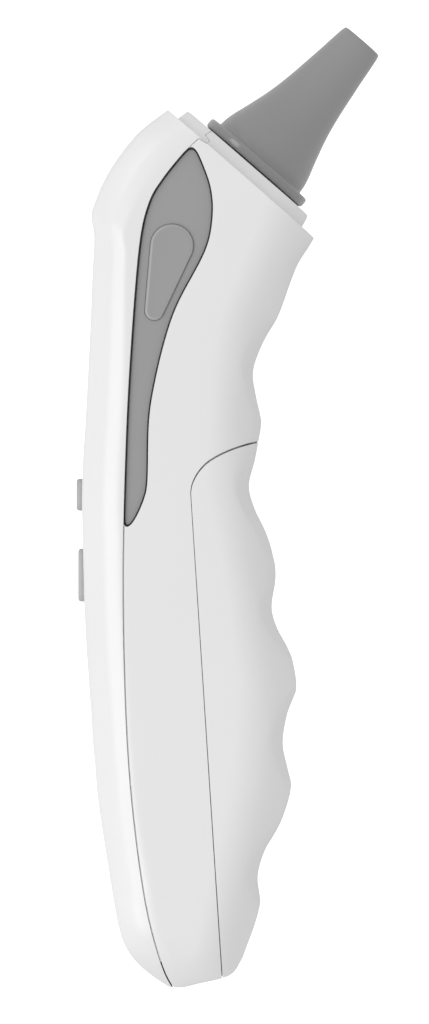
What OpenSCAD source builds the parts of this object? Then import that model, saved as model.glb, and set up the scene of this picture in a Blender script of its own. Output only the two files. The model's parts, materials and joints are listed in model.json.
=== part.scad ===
// Infrared ear thermometer, lying on its flat left side.
// +Y points to the head, +X to the back of the grip, +Z to the user's right; millimetres.
// The origin is at the middle of the bounding box, on the surface that the left side rests on.

/* [Casing] */
// Distance from the mid-plane to each flat side
half_w = 19; // [18.5:0.5:19.5]
// Thickness of the casing's walls
wall = 1.8; // [1.6:0.1:1.9]
// Gap between the two casing halves, and round the side panels
seam_gap = 0.4; // [0.3:0.1:0.5]
// Gap round the battery door
door_gap = 0.3; // [0.3:0.1:0.4]
// Rounding of the front edges, measured back from the front face
front_round = 5.5; // [5:0.5:6]
// Rounding of the back edges, measured across the width
back_round = 11; // [10:0.5:12]
// Height of the raised collar round the probe
collar_h = 2.2; // [2:0.1:2.2]

/* [Probe] */
// Radius of the probe's flange
flange_r = 10.75; // [10.5:0.05:11]
// Thickness of the probe's flange
flange_t = 1.75; // [1.6:0.05:1.8]
// Length of the cone above its flange
cone_len = 26.9; // [26:0.1:27.5]
// Radius of the cone at its foot
cone_r = 9; // [8.8:0.1:9.2]
// Radius of the cone at its tip
tip_r = 3.9; // [3.8:0.05:4.1]

/* [Keys and buttons] */
// Length of the upper front key
upper_key_len = 5.5; // [5:0.5:5.5]
// Length of the lower front key
lower_key_len = 9.1; // [8.6:0.1:9.5]
// Width of the front keys
key_w = 13; // [10:1:15]
// Travel of the front keys
key_travel = 0.6; // [0.4:0.1:0.6]
// Travel of the scan buttons
scan_travel = 0.7; // [0.5:0.1:0.7]

/* [Display] */
// Length of the display lens
lens_len = 33; // [32:0.5:33.5]
// Width of the display lens
lens_w = 26; // [25:0.5:27]

/* [Batteries] */
// Radius of an AAA cell
cell_r = 5.25; // [5.1:0.05:5.25]
// Length of an AAA cell with its terminal
cell_len = 44.5; // [44:0.1:44.5]

/* [Hidden] */
$fn = 48;

WHITE = [0.93, 0.93, 0.93];
GREY = [0.62, 0.62, 0.63];
DARK = [0.12, 0.12, 0.13];
STEEL = [0.75, 0.76, 0.78];
fit_gap = 0.3;
far = 130;

// Each row is a slice of the casing: front x and y, back x and y, share of the half width.
// They run from the head's sloped top, past the display and the five finger grooves, to the end.
SLICES = [
    [-10.2, 68.0, 14.8, 46.2, 1], [-14.9, 64.4, 13.0, 43.4, 1], [-18.3, 60.4, 11.6, 40.8, 1],
    [-20.9, 56.3, 10.4, 37.7, 1], [-22.6, 52.4, 9.0, 33.6, 1], [-23.3, 49.8, 7.6, 31.0, 1],
    [-22.8, 46.2, 5.7, 27.4, 1], [-23.1, 39.8, 4.4, 23.3, 1], [-23.4, 32.0, 4.9, 19.2, 1],
    [-23.9, 22.0, 5.8, 14.8, 1], [-24.3, 12.8, 5.3, 11.2, 1], [-25.0, 9.4, 4.7, 8.0, 1],
    [-25.0, 4.0, 3.7, 3.8, 1], [-24.9, 0.0, 4.6, 0.0, 1], [-24.8, -4.0, 6.5, -4.0, 1],
    [-24.7, -8.0, 7.8, -8.0, 1], [-24.6, -12.0, 8.3, -12.0, 1], [-24.5, -17.0, 7.6, -17.0, 1],
    [-24.3, -20.6, 8.5, -20.6, 1], [-24.1, -24.6, 10.6, -24.6, 1], [-23.8, -28.4, 11.6, -28.4, 1],
    [-23.6, -31.6, 11.7, -31.6, 1], [-23.3, -35.4, 10.3, -35.4, 1],
    [-23.0, -40.4, 9.5, -40.4, 1], [-22.6, -44.6, 10.3, -44.6, 1],
    [-22.4, -47.6, 10.9, -47.6, 1], [-22.0, -51.0, 10.2, -51.0, 1],
    [-21.4, -55.2, 8.6, -55.2, 1], [-20.8, -59.0, 6.4, -59.0, 1], [-20.1, -63.3, 5.2, -63.3, 1],
    [-19.4, -67.6, 5.6, -67.6, 1], [-18.7, -71.4, 4.7, -71.4, 0.98],
    [-17.6, -74.8, 3.4, -75.0, 0.93], [-15.9, -77.5, 2.2, -78.0, 0.84],
    [-13.5, -79.8, 0.2, -80.4, 0.66], [-10.9, -81.7, -5.1, -81.8, 0.4],
    [-9.8, -82.4, -7.4, -82.4, 0.2]
];

// Where the flat sides give way to the rounded back: y, then x
SIDE_END = [
    [-82, -8], [-75, -5.5], [-63, -3], [-47, 0.5], [-30, 1.5], [-10, -1], [4, -4], [20, -3],
    [28, -1.5], [38, 2.5], [47, 7]
];

// The line where the front and rear halves meet, from the head's top to the grip's end
PARTING = [
    [-4.9, 63.0], [-6.9, 61.1], [-10.9, 56.2], [-13.4, 51.8], [-15.0, 44.3], [-16.4, 27.1],
    [-17.3, 9.9], [-17.8, -11.6], [-17.4, -33.1], [-16.3, -50.3], [-14.0, -67.5],
    [-11.1, -78.6], [-8.7, -83.4]
];

// The back edge of a side panel, from its lower end to its tip
PANEL_BACK = [
    [-16.5, -3.3], [-14.4, 0.6], [-13.7, 5.0], [-13.5, 14.7], [-12.5, 21.3], [-10.7, 28.8],
    [-8.5, 35.0], [-3.8, 44.0], [-2.6, 50.0], [-3.2, 56.0], [-4.6, 60.6]
];

// The curved top of the battery door's edge, down to where the straight edge starts
DOOR_TOP = [
    [9.0, 11.9], [5.3, 11.4], [2.6, 10.7], [-2.0, 8.8], [-5.2, 6.0], [-6.3, 1.7]
];
door_angle = 3.7;
door_edge_len = 90;
deck_t = 1.5;
deck_end = 80.5;
door_start = DOOR_TOP[len(DOOR_TOP) - 1];
travel_down = [sin(door_angle), -cos(door_angle)];

// The probe's axis leans back from +X, and v is measured across it in the mid-plane
probe_angle = 49;
probe_axis = [cos(probe_angle), sin(probe_angle)];
ledge_u = 44.6;
probe_v = -35.1;
gasket_t = 0.3;
spigot_r = 7.9;
spigot_len = 8;
spigot_gap = 0.3;
collar_front = 15;
collar_back = 13.1;
collar_half_w = 16.8;
collar_corner = 7;

// The cone's outline: share of its height, then share of the way from tip radius to foot radius
CONE = [
    [0, 1], [0.045, 0.98], [0.11, 0.9], [0.215, 0.72], [0.33, 0.54], [0.457, 0.385],
    [0.595, 0.265], [0.73, 0.165], [0.855, 0.08], [0.98, 0.01]
];

// Lens surface: its middle and its lean
lens_mid = [-23.5, 29.4];
lens_lean = -2.6;
lens_t = 1;
lens_corner = 3;
window_margin = 2.5;

// The display's stack, measured back from the lens surface
lcd_x = 2.2;
lcd_t = 2.2;
lcd_len = 25;
lcd_w = 21;
guide_t = 1.8;
guide_len = 19;
strip_y = 11.2;
strip_w = 1.8;
frame_wall = 1;

// The circuit board, in the lens's frame
board_x = 7.6;
board_t = 1.2;
board_half_w = 10.8;
board_low = -46;
board_high = 17;
BOARD_SCREWS = [for (z = [-9.2, 9.2]) each [[-19.6, z, 1.3], [-43.4, z, 2.3]]];
boss_r = 1.6;
board_screw_r = 0.8;
buzzer_r = 6;
buzzer_h = 3.2;

// Keys: middle of each, its front face and the surface that it passes through
upper_key = [-25.9, 2.2];
lower_key = [-25.6, -11.6];
key_inner = 2.8;
key_lip = 0.8;
key_lip_t = 0.9;
switch_h = 2.4;
plunger_h = 0.6;
stem_r = 1.5;
clear = 0.1;

// Case screws in the door's own frame: place along the deck, side, depth of the front boss's foot
CASE_SCREWS = [for (z = [-1, 1]) each [[-4.5, 13.4 * z, 17.5], [-68, 9 * z, 16.3]]];
case_screw_r = 1.2;
case_boss_r = 2.3;
case_post_len = 8;
post_draft = 0.2;
post_foot = 0.6;
screw_head_r = 2.1;
screw_head_t = 1.3;

// Scan button: middle and radius of the two rounds that its outline wraps
scan_big = [-9.5, 44.7, 3.7];
scan_small = [-12.5, 33.6, 1.65];
scan_top = half_w - 0.1;
scan_lip = 0.8;
panel_top = half_w - 0.6;
panel_t = 2.2;
panel_lip = 0.8;
panel_lip_t = 0.9;
scan_lip_top = panel_top - panel_t - clear;
scan_lip_t = 1;
scan_switch = [10.2, 11.6];
scan_switch_top = 13.4;

// Battery bay, in the door's own frame
cell_x = 2.7;
cell_z = 5.6;
bay_low = -61;
plate_t = 0.5;
spring_len = 4;
spring_turns = 3;
bay_high = bay_low + 2 * plate_t + spring_len + cell_len;
cradle_floor = -4.6;
bay_wall_h = 5;
rail_low = bay_low + 6;
rail_high = -10;
rail_lead = 1.5;
rail_chamfer = 0.3;

// Points along a smooth curve through p, with k steps between neighbours
function curve_point(a, b, c, d, t) =
    0.5 * (2 * b + (c - a) * t + (2 * a - 5 * b + 4 * c - d) * t * t
    + (3 * b - a - 3 * c + d) * t * t * t);
function curve(p, k) = concat(
    [for (i = [0 : len(p) - 2], j = [0 : k - 1])
        curve_point(p[max(i - 1, 0)], p[i], p[i + 1], p[min(i + 2, len(p) - 1)], j / k)],
    [p[len(p) - 1]]);

// A line of points moved to its left by d, and the strip between a line and its moved copy
function left_of(a, b) = [a.y - b.y, b.x - a.x] / norm(b - a);
function shifted(p, d) = [for (i = [0 : len(p) - 1])
    p[i] + d * left_of(p[max(i - 1, 0)], p[min(i + 1, len(p) - 1)])];
function reversed(p) = [for (i = [len(p) - 1 : -1 : 0]) p[i]];
function band(p, d) = concat(p, reversed(shifted(p, d)));

// Casing: one closed ring of points for each slice
function half_ring(length, w, side, front_r, back_r) = concat(
    [[0, 0]],
    [for (q = [0 : 22.5 : 90]) [front_r * (1 - cos(q)), w - front_r * (1 - sin(q)) * 0.8]],
    [for (q = [0 : 15 : 90]) [side + (length - side) * sin(q), w - back_r * (1 - cos(q))]],
    [[length, 0]]);
function full_ring(h) = concat(h, [for (i = [len(h) - 2 : -1 : 1]) [h[i].x, -h[i].y]]);
function ring(s, inset) = let(
    front = [s[0], s[1]],
    across = [s[2], s[3]] - front,
    d = across / norm(across),
    w = s[4] * half_w - inset,
    length = norm(across) - 2 * inset,
    side = min((lookup(s[3], SIDE_END) - s[0]) / d.x - inset, 0.8 * length),
    front_r = min(front_round - inset, 0.3 * length),
    start = front + inset * d)
    [for (p = full_ring(half_ring(length, w, side, front_r, min(back_round, 0.7 * w))))
        [start.x + p.x * d.x, start.y + p.x * d.y, p.y]];
function slices(inset) = inset == 0 ? SLICES : concat(
    [SLICES[0] - inset * [probe_axis.x, probe_axis.y, probe_axis.x, probe_axis.y, 0]],
    [for (i = [1 : len(SLICES) - 3]) SLICES[i]]);

// Outlines in the mid-plane that divide the casing
function parting_line() = concat(
    [[3.8, 73], [-3.4, 64.7]], curve(PARTING, 2), [[-8.4, -far]]);
function door_line(end) = concat(curve(DOOR_TOP, 3), [door_start + end * travel_down]);
function panel_shape(front_gap, grow) = let(
    front = [for (p = curve(PARTING, 2)) if (p.y > -2.6 && p.y < 61.4) p])
    concat(shifted(front, front_gap), shifted(curve(PANEL_BACK, 2), -grow));
function rounded_box(x, y, r) = [for (k = [0 : 3], q = [0 : 15 : 90])
    [(x / 2 - r) * (k == 0 || k == 3 ? 1 : -1) + r * cos(90 * k + q),
     (y / 2 - r) * (k < 2 ? 1 : -1) + r * sin(90 * k + q)]];

module loft(rings) {
    n = len(rings[0]);
    last = len(rings) - 1;
    sides = [for (k = [0 : last - 1], i = [0 : n - 1])
        each [[k * n + i, k * n + (i + 1) % n, (k + 1) * n + (i + 1) % n],
              [k * n + i, (k + 1) * n + (i + 1) % n, (k + 1) * n + i]]];
    caps = [[for (i = [n - 1 : -1 : 0]) i], [for (i = [0 : n - 1]) last * n + i]];
    polyhedron(points = [for (r = rings) each r], faces = concat(sides, caps));
}

// Frames: the mid-plane set half_w above the ground, and the parts' own directions
module lying() translate([0, 0, half_w]) children();
module on_side(s) lying() mirror([0, 0, s > 0 ? 0 : 1]) children();
module along_probe()
    translate(ledge_u * probe_axis + probe_v * [probe_axis.y, -probe_axis.x])
        rotate([0, 0, probe_angle]) rotate([0, 90, 0]) rotate([0, 0, -90]) children();
module along_lens() translate(lens_mid) rotate([0, 0, lens_lean]) children();
module along_door() translate(door_start) rotate([0, 0, door_angle]) children();
module facing_x() rotate([0, 90, 0]) children();

module casing(inset) loft([for (s = slices(inset)) ring(s, inset)]);
module slab(points, low, high) translate([0, 0, low]) linear_extrude(high - low) polygon(points);
module full_slab(points) slab(points, -far, far);
module box(low, high) translate(low) cube(high - low);
module rod(r, low, high) translate([low, 0, 0]) facing_x() cylinder(r = r, h = high - low);
module post(r, low, high) hull() {
    rod(r, low, high);
    rod(r + post_draft, low, low + post_foot);
}
module rail(low, high) hull() {
    box(low + [0, rail_lead, 0], high - [0, rail_lead, 0]);
    box(low + [0, 0, rail_chamfer], high - [0, 0, rail_chamfer]);
}
module plate_x(low, high, y, z, r)
    translate([low, 0, 0]) facing_x() linear_extrude(high - low) polygon(rounded_box(z, y, r));

// Openings that cut the casing
module all_in_front(gap)
    full_slab(concat(shifted(parting_line(), -gap), [[-far, -far], [-far, 75], [3, 75]]));
module all_behind(gap)
    full_slab(concat(shifted(parting_line(), -gap), [[far, -far], [far, 75]]));
module door_space(gap)
    full_slab(concat(shifted(door_line(door_edge_len), gap), [[far, -far], [far, 12]]));
module casing_with_collar() {
    casing(0);
    along_probe() translate([(collar_back - collar_front) / 2, 0, -wall / 2])
        linear_extrude(collar_h + wall / 2)
            polygon(rounded_box(collar_front + collar_back, 2 * collar_half_w, collar_corner));
}
module probe_hole() along_probe()
    translate([0, 0, -2 * wall]) cylinder(r = spigot_r + spigot_gap, h = 3 * wall + collar_h);
module teardrop(grow, low, high) hull() for (c = [scan_big, scan_small])
    translate([c.x, c.y, low]) cylinder(r = c.z + grow, h = high - low, $fn = 32);
module key_opening(key, len)
    translate(key) plate_x(0, key_inner + 1, len + 2 * fit_gap, key_w + 2 * fit_gap, 2);

// Casing halves: the outer shape less its cavity, with bosses and ribs left standing in the cavity
module front_bosses() {
    along_lens() for (s = BOARD_SCREWS)
        translate([0, s[0], s[1]]) post(boss_r, s[2], board_x);
    along_door() for (s = CASE_SCREWS)
        translate([0, s[0], s[1]]) post(case_boss_r, -s[2], -case_post_len - clear);
}
module front_case() color(WHITE) lying() difference() {
    casing_with_collar();
    all_behind(seam_gap / 2);
    difference() { casing(wall); front_bosses(); }
    probe_hole();
    along_lens() {
        plate_x(-1, lens_t + clear, lens_len + fit_gap, lens_w + fit_gap, lens_corner);
        plate_x(0, 2 * wall, lens_len - 2 * window_margin, lens_w - 2 * window_margin, 1);
        for (s = BOARD_SCREWS) translate([0, s[0], s[1]]) rod(board_screw_r, 3.5, board_x + 1);
    }
    key_opening(upper_key, upper_key_len);
    key_opening(lower_key, lower_key_len);
    along_door() for (s = CASE_SCREWS)
        translate([0, s[0], s[1]]) rod(case_screw_r, -13.5, -case_post_len + 1);
}

module bay_walls() {
    wall_half_w = cell_z + cell_r + 1;
    box([cradle_floor, bay_low - 1.2, -wall_half_w], [-0.5, bay_high + 1.2, wall_half_w]);
    for (y = [bay_low - 1.2, bay_high])
        box([-0.5, y, -wall_half_w], [bay_wall_h, y + 1.2, wall_half_w]);
}
module door_rails() for (s = [0, 1]) mirror([0, 0, s]) {
    rail([-0.5, rail_low, 14.2], [3.4, rail_high, 15.2]);
    rail([2.4, rail_low, 14.2], [3.4, rail_high, 16.7]);
}
module deck() full_slab(concat(
    shifted(door_line(deck_end), 1), reversed(shifted(door_line(deck_end), -deck_t))));
module rear_posts() along_door() for (s = CASE_SCREWS) translate([0, s[0], s[1]])
    mirror([1, 0, 0]) post(case_boss_r, 0.5, case_post_len);
module bay() along_door() {
    bay_walls();
    door_rails();
}
module rear_case() color(WHITE) lying() difference() {
    casing_with_collar();
    all_in_front(-seam_gap / 2);
    difference() { casing(wall); deck(); rear_posts(); bay(); }
    difference() { door_space(0); bay(); }
    for (s = [0, 1]) mirror([0, 0, s])
        slab(panel_shape(-1, seam_gap / 2), half_w - 2 * wall, half_w + 1);
    probe_hole();
    along_door() {
        for (z = [-cell_z, cell_z]) translate([cell_x, bay_low, z])
            rotate([-90, 0, 0]) cylinder(r = cell_r + fit_gap, h = bay_high - bay_low);
        for (s = CASE_SCREWS) translate([0, s[0], s[1]]) {
            rod(case_screw_r + clear, -case_post_len - 1, 1);
            rod(screw_head_r + clear, -screw_head_t - clear, 1);
        }
    }
}

module battery_door() color(WHITE) lying() {
    difference() {
        intersection() { casing(0); door_space(door_gap); }
        casing(wall);
    }
    along_door() for (s = [0, 1]) mirror([0, 0, s])
        box([door_gap + clear, rail_low, 15.6], [2, rail_high, 17.5]);
}

// Side panels and scan buttons
module side_panel(s) color(GREY) on_side(s) difference() {
    union() {
        slab(panel_shape(seam_gap, -seam_gap / 2), panel_top - panel_t, panel_top);
        slab(panel_shape(seam_gap - panel_lip, panel_lip), panel_top - panel_t,
            panel_top - panel_t + panel_lip_t);
    }
    teardrop(fit_gap, 0, half_w);
}
module side_panel_right() side_panel(1);
module side_panel_left() side_panel(-1);

// A point of the lens's frame, in the mid-plane
function lens_point(p) = lens_mid + p.x * [cos(lens_lean), sin(lens_lean)]
    + p.y * [-sin(lens_lean), cos(lens_lean)];
module scan_button(s) color(GREY) on_side(s) {
    teardrop(0, scan_lip_top - scan_lip_t, scan_top);
    teardrop(scan_lip, scan_lip_top - scan_lip_t, scan_lip_top);
    stem_low = scan_switch_top + scan_travel + clear;
    translate(concat(lens_point(scan_switch), stem_low))
        cylinder(r = 1.2, h = scan_lip_top - scan_lip_t - stem_low + clear);
}
module scan_button_right() scan_button(1);
module scan_button_left() scan_button(-1);

// Front keys: a cap through the case, a lip behind it and a stem over its switch
module front_key(key, len, inner) color(GREY) lying() translate(key) {
    lip_end = inner + clear + key_lip_t;
    switch_top = lens_point([board_x - switch_h - plunger_h, (key.y - lens_mid.y)]).x - key.x;
    plate_x(0, lip_end, len, key_w, 1.8);
    plate_x(inner + clear, lip_end, len + 2 * key_lip, key_w + 2 * key_lip, 2);
    rod(stem_r, lip_end - clear, switch_top - key_travel - clear);
}
module mode_button() front_key(upper_key, upper_key_len, key_inner);
module memory_button() front_key(lower_key, lower_key_len, key_inner);

// Display
module display_lens() color(DARK) lying() along_lens() plate_x(0, lens_t, lens_len, lens_w, lens_corner);
module lcd_panel() color([0.6, 0.66, 0.6]) lying() along_lens()
    plate_x(lcd_x, lcd_x + lcd_t, lcd_len, lcd_w, 0.5);
module lcd_frame() color(WHITE) lying() along_lens() difference() {
    plate_x(wall + clear, board_x, lcd_len + 2 * frame_wall + 0.4, lcd_w + 2 * frame_wall + 0.4, 1);
    plate_x(lcd_x - clear, board_x + 1, lcd_len + 0.2, lcd_w + 0.2, 0.5);
    plate_x(0, lcd_x, lcd_len - 2, lcd_w - 2, 0.5);
}
module backlight_guide() color([0.9, 0.95, 0.9]) lying() along_lens()
    plate_x(lcd_x + lcd_t + clear, lcd_x + lcd_t + clear + guide_t, guide_len, lcd_w - 1, 0.5);
module lcd_strips() color(DARK) lying() along_lens() for (y = [-strip_y, strip_y])
    translate([0, y, 0]) plate_x(lcd_x + lcd_t, board_x, strip_w, lcd_w - 2, 0.3);

// Circuit board and what is on it
module main_board() color([0.1, 0.4, 0.2]) lying() along_lens() difference() {
    box([board_x, board_low, -board_half_w], [board_x + board_t, board_high, board_half_w]);
    for (s = BOARD_SCREWS) translate([0, s[0], s[1]])
        rod(board_screw_r + 0.2, board_x - 1, board_x + board_t + 1);
}
module on_board(y, z) lying() along_lens() translate([board_x + board_t, y, z]) children();
module controller_chip() color(DARK) on_board(-2, 0) {
    box([0.2, -4.5, -4.5], [1.4, 4.5, 4.5]);
    for (k = [-3.5 : 1 : 3.5], s = [-1, 1]) {
        box([0, k - 0.2, 4.4 * s - 0.8], [0.3, k + 0.2, 4.4 * s + 0.8]);
        box([0, 4.4 * s - 0.8, k - 0.2], [0.3, 4.4 * s + 0.8, k + 0.2]);
    }
}
module board_parts() color([0.7, 0.6, 0.3]) {
    on_board(-11, -6) facing_x() cylinder(r = 2.2, h = 4);
    on_board(-12, 5) box([0, -1.5, -4], [2.2, 1.5, 4]);
    on_board(12.5, 0) box([0, -1.4, -3.4], [1.6, 1.4, 3.4]);
    for (z = [-7.5, -5, 5]) on_board(7, z) box([0, -1, -0.6], [0.6, 1, 0.6]);
    for (z = [-2, 0.5, 3]) on_board(-18, z) box([0, -1, -0.6], [0.6, 1, 0.6]);
}
module key_switches() color(DARK) lying() for (key = [upper_key, lower_key])
    along_lens() translate([board_x, key.y - lens_mid.y, 0]) {
        box([-switch_h, -3, -3], [0, 3, 3]);
        rod(1.6, -switch_h - plunger_h, -switch_h + clear);
    }
module scan_switch(s) color(DARK) on_side(s) along_lens() {
    box([board_x + board_t, scan_switch.y - 3, 7.5], [board_x + board_t + 3.2, scan_switch.y + 3, 12.6]);
    translate(concat(scan_switch, 12.5)) cylinder(r = 0.9, h = scan_switch_top - 12.5);
}
module scan_switch_right() scan_switch(1);
module scan_switch_left() scan_switch(-1);
module buzzer() color(DARK) on_board(-32, 0) difference() {
    facing_x() cylinder(r = buzzer_r, h = buzzer_h);
    translate([buzzer_h - 1, 0, 0]) facing_x() cylinder(r = 1, h = 2);
}

// Probe and sensor, measured up the axis from the head's sloped top
flange_low = collar_h + gasket_t;
cone_low = flange_low + flange_t;
cone_top = cone_low + cone_len;
function cone_at(f, thin) = [tip_r + (cone_r - tip_r) * f[1] - thin, cone_low + cone_len * f[0]];
bore_low = spigot_r - 1.3;
barrel_low = cone_low + 11;
barrel_r = 3.1;
barrel_bore = 2.5;
can_low = cone_top - 7;
can_h = 3.4;
window_t = 0.5;
module probe_cone() color([0.6, 0.6, 0.6]) lying() along_probe() difference() {
    rotate_extrude() polygon(concat(
        [[0, flange_low - spigot_len], [spigot_r, flange_low - spigot_len], [spigot_r, flange_low],
         [flange_r - 0.4, flange_low], [flange_r, flange_low + 0.4], [flange_r, cone_low - 0.4],
         [flange_r - 0.4, cone_low]],
        [for (f = CONE) cone_at(f, 0)],
        [[tip_r - 0.4, cone_top], [0, cone_top]]));
    rotate_extrude() polygon(concat(
        [[0, flange_low - spigot_len - 1], [bore_low, flange_low - spigot_len - 1],
         [bore_low, cone_low]],
        [for (k = [1 : 4]) cone_at(CONE[k], 1.4)],
        [[barrel_r + 0.8, barrel_low], [barrel_r, barrel_low], [barrel_r, cone_top + 1],
         [0, cone_top + 1]]));
}
module probe_gasket() color(DARK) lying() along_probe() difference() {
    translate([0, 0, collar_h]) cylinder(r = flange_r - 0.5, h = gasket_t);
    cylinder(r = spigot_r + spigot_gap, h = 3 * collar_h);
}
module sensor_barrel() color(STEEL) lying() along_probe() difference() {
    union() {
        translate([0, 0, barrel_low]) cylinder(r = barrel_r, h = cone_top - 1 - barrel_low);
        translate([0, 0, barrel_low - 1]) cylinder(r = barrel_r + 0.8, h = 1);
    }
    translate([0, 0, barrel_low - 2]) cylinder(r = barrel_bore, h = cone_len);
}
module thermopile() color([0.8, 0.7, 0.4]) lying() along_probe() {
    translate([0, 0, can_low]) cylinder(r = 2.1, h = can_h);
    translate([0, 0, can_low]) cylinder(r = barrel_bore, h = 0.6);
}
module sensor_window() color([0.2, 0.2, 0.25]) lying() along_probe()
    translate([0, 0, cone_top - 1]) cylinder(r = barrel_r, h = window_t);

// The sensor's flat cable: straight down the probe, then across to the back of the board
FLEX_END = [[-7.6, 45.4], [-10.6, 43.9], [-13.6, 43.5]];
function probe_point(z) = (ledge_u + z) * probe_axis + probe_v * [probe_axis.y, -probe_axis.x];
module sensor_flex() color([0.8, 0.5, 0.2]) lying()
    slab(band(concat([probe_point(can_low), probe_point(-9)], FLEX_END), 0.4), -2, 2);

// Batteries and their contacts
module cell() {
    cylinder(r = cell_r, h = cell_len - 1);
    cylinder(r = 1.9, h = cell_len);
}
module battery_right() color([0.2, 0.3, 0.6]) lying() along_door()
    translate([cell_x, bay_low + plate_t + spring_len, cell_z]) rotate([-90, 0, 0]) cell();
module battery_left() color([0.2, 0.3, 0.6]) lying() along_door()
    translate([cell_x, bay_high - plate_t - spring_len, -cell_z]) rotate([90, 0, 0]) cell();
module contact_plates() color(STEEL) lying() along_door()
    for (y = [bay_low, bay_high - plate_t], z = [-cell_z, cell_z])
        box([cell_x - 3.5, y, z - 4], [cell_x + 2.5, y + plate_t, z + 4]);
module contact_spring() {
    wire_r = 0.3;
    rings = 12 * spring_turns;
    loft([for (k = [0 : rings]) let(t = k / rings, r = 3 - t, q = 30 * k)
        [for (c = [0 : 60 : 300]) [(r + wire_r * cos(c)) * cos(q), (r + wire_r * cos(c)) * sin(q),
            wire_r + t * (spring_len - 2 * wire_r) + wire_r * sin(c)]]]);
}
module contact_springs() color(STEEL) lying() along_door() {
    translate([cell_x, bay_low + plate_t, cell_z]) rotate([-90, 0, 0]) contact_spring();
    translate([cell_x, bay_high - plate_t, -cell_z]) rotate([90, 0, 0]) contact_spring();
}

// Screws
module screw_x(r, head_r, head_t, length) {
    rod(r, -length, 0);
    difference() {
        rod(head_r, -clear, head_t);
        box([head_t - 0.5, -head_r * 0.6, -0.3], [head_t + 1, head_r * 0.6, 0.3]);
        box([head_t - 0.5, -0.3, -head_r * 0.6], [head_t + 1, 0.3, head_r * 0.6]);
    }
}
module case_screws() color(STEEL) lying() along_door() for (s = CASE_SCREWS)
    translate([-screw_head_t, s[0], s[1]]) screw_x(case_screw_r, screw_head_r, screw_head_t, 11);
module board_screws() color(STEEL) lying() along_lens() for (s = BOARD_SCREWS)
    translate([board_x + board_t + clear, s[0], s[1]]) screw_x(board_screw_r, 1.5, 1, 5);

front_case();
rear_case();
battery_door();
side_panel_right();
side_panel_left();
scan_button_right();
scan_button_left();
mode_button();
memory_button();
display_lens();
lcd_panel();
lcd_frame();
backlight_guide();
lcd_strips();
main_board();
controller_chip();
board_parts();
key_switches();
scan_switch_right();
scan_switch_left();
buzzer();
probe_cone();
probe_gasket();
sensor_barrel();
thermopile();
sensor_window();
sensor_flex();
battery_right();
battery_left();
contact_springs();
contact_plates();
case_screws();
board_screws();
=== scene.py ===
import json
import math

import bmesh
import bpy
import numpy as np
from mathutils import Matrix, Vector
from mathutils.bvhtree import BVHTree


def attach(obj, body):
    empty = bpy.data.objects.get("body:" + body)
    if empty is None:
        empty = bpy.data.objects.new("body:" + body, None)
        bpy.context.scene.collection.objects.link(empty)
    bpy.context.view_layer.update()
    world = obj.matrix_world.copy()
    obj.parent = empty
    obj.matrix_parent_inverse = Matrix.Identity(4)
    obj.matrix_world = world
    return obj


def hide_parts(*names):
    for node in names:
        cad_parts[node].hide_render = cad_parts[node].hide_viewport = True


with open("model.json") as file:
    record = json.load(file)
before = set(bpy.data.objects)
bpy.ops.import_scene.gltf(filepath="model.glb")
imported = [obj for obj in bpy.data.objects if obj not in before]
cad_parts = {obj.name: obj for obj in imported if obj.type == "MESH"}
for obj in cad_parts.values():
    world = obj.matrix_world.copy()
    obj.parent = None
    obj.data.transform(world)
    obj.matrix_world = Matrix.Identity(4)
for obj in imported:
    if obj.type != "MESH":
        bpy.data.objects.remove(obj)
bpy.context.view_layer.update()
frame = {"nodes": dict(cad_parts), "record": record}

# Lengths are in millimetres. The photo's plane is x, y, and z is 0 halfway through the width.
# They turn into metres above the floor in finish_mesh().
MM = 0.001
HALF_W = 19.0
WALL = 1.8
LIP_FLOOR = 2.2
FAR = 130.0
FRONT_ROUND = 5.5
BACK_ROUND = 11.0

# Slices through the casing: front point, back point, share of the half width.
# The back points follow the finger grooves.
SLICES = np.array([
    [-10.2, 68.0, 14.8, 46.2, 1], [-14.9, 64.4, 13.0, 43.4, 1], [-18.3, 60.4, 11.6, 40.8, 1],
    [-20.9, 56.3, 10.4, 37.7, 1], [-22.6, 52.4, 9.0, 33.6, 1], [-23.3, 49.8, 7.6, 31.0, 1],
    [-22.8, 46.2, 5.7, 27.4, 1], [-23.1, 39.8, 4.4, 23.3, 1], [-23.4, 32.0, 4.9, 19.2, 1],
    [-23.9, 22.0, 5.8, 14.8, 1], [-24.4, 12.8, 5.3, 11.2, 1], [-24.65, 9.4, 4.7, 8.0, 1],
    [-24.85, 4.0, 3.7, 3.8, 1], [-24.9, 0, 4.6, 0, 1], [-24.8, -4, 6.5, -4, 1],
    [-24.7, -8, 7.8, -8, 1], [-24.6, -12, 8.3, -12, 1], [-24.5, -17, 7.6, -17, 1],
    [-24.3, -20.6, 8.5, -20.6, 1], [-24.1, -24.6, 10.6, -24.6, 1], [-23.8, -28.4, 11.6, -28.4, 1],
    [-23.6, -31.6, 11.7, -31.6, 1], [-23.3, -35.4, 10.3, -35.4, 1], [-23.0, -40.4, 9.5, -40.4, 1],
    [-22.6, -44.6, 10.3, -44.6, 1], [-22.4, -47.6, 10.9, -47.6, 1], [-22.0, -51, 10.2, -51, 1],
    [-21.4, -55.2, 8.6, -55.2, 1], [-20.8, -59, 6.4, -59, 1], [-20.1, -63.3, 5.2, -63.3, 1],
    [-19.4, -67.6, 5.6, -67.6, 1], [-18.7, -71.4, 4.7, -71.4, 0.98], [-17.6, -74.8, 3.4, -75, 0.93],
    [-15.9, -77.5, 2.2, -78, 0.84], [-13.5, -79.8, 0.2, -80.4, 0.66], [-10.9, -81.7, -5.1, -81.8, 0.4],
    [-9.8, -82.4, -7.4, -82.4, 0.2]])
# Where the flat side ends and the back's rounding starts: y, x
SIDE_END = np.array([[-82, -8], [-75, -5.5], [-63, -3], [-47, 0.5], [-30, 1.5], [-10, -1], [4, -4],
                     [20, -3], [28, -1.5], [38, 2.5], [47, 7]])
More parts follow.
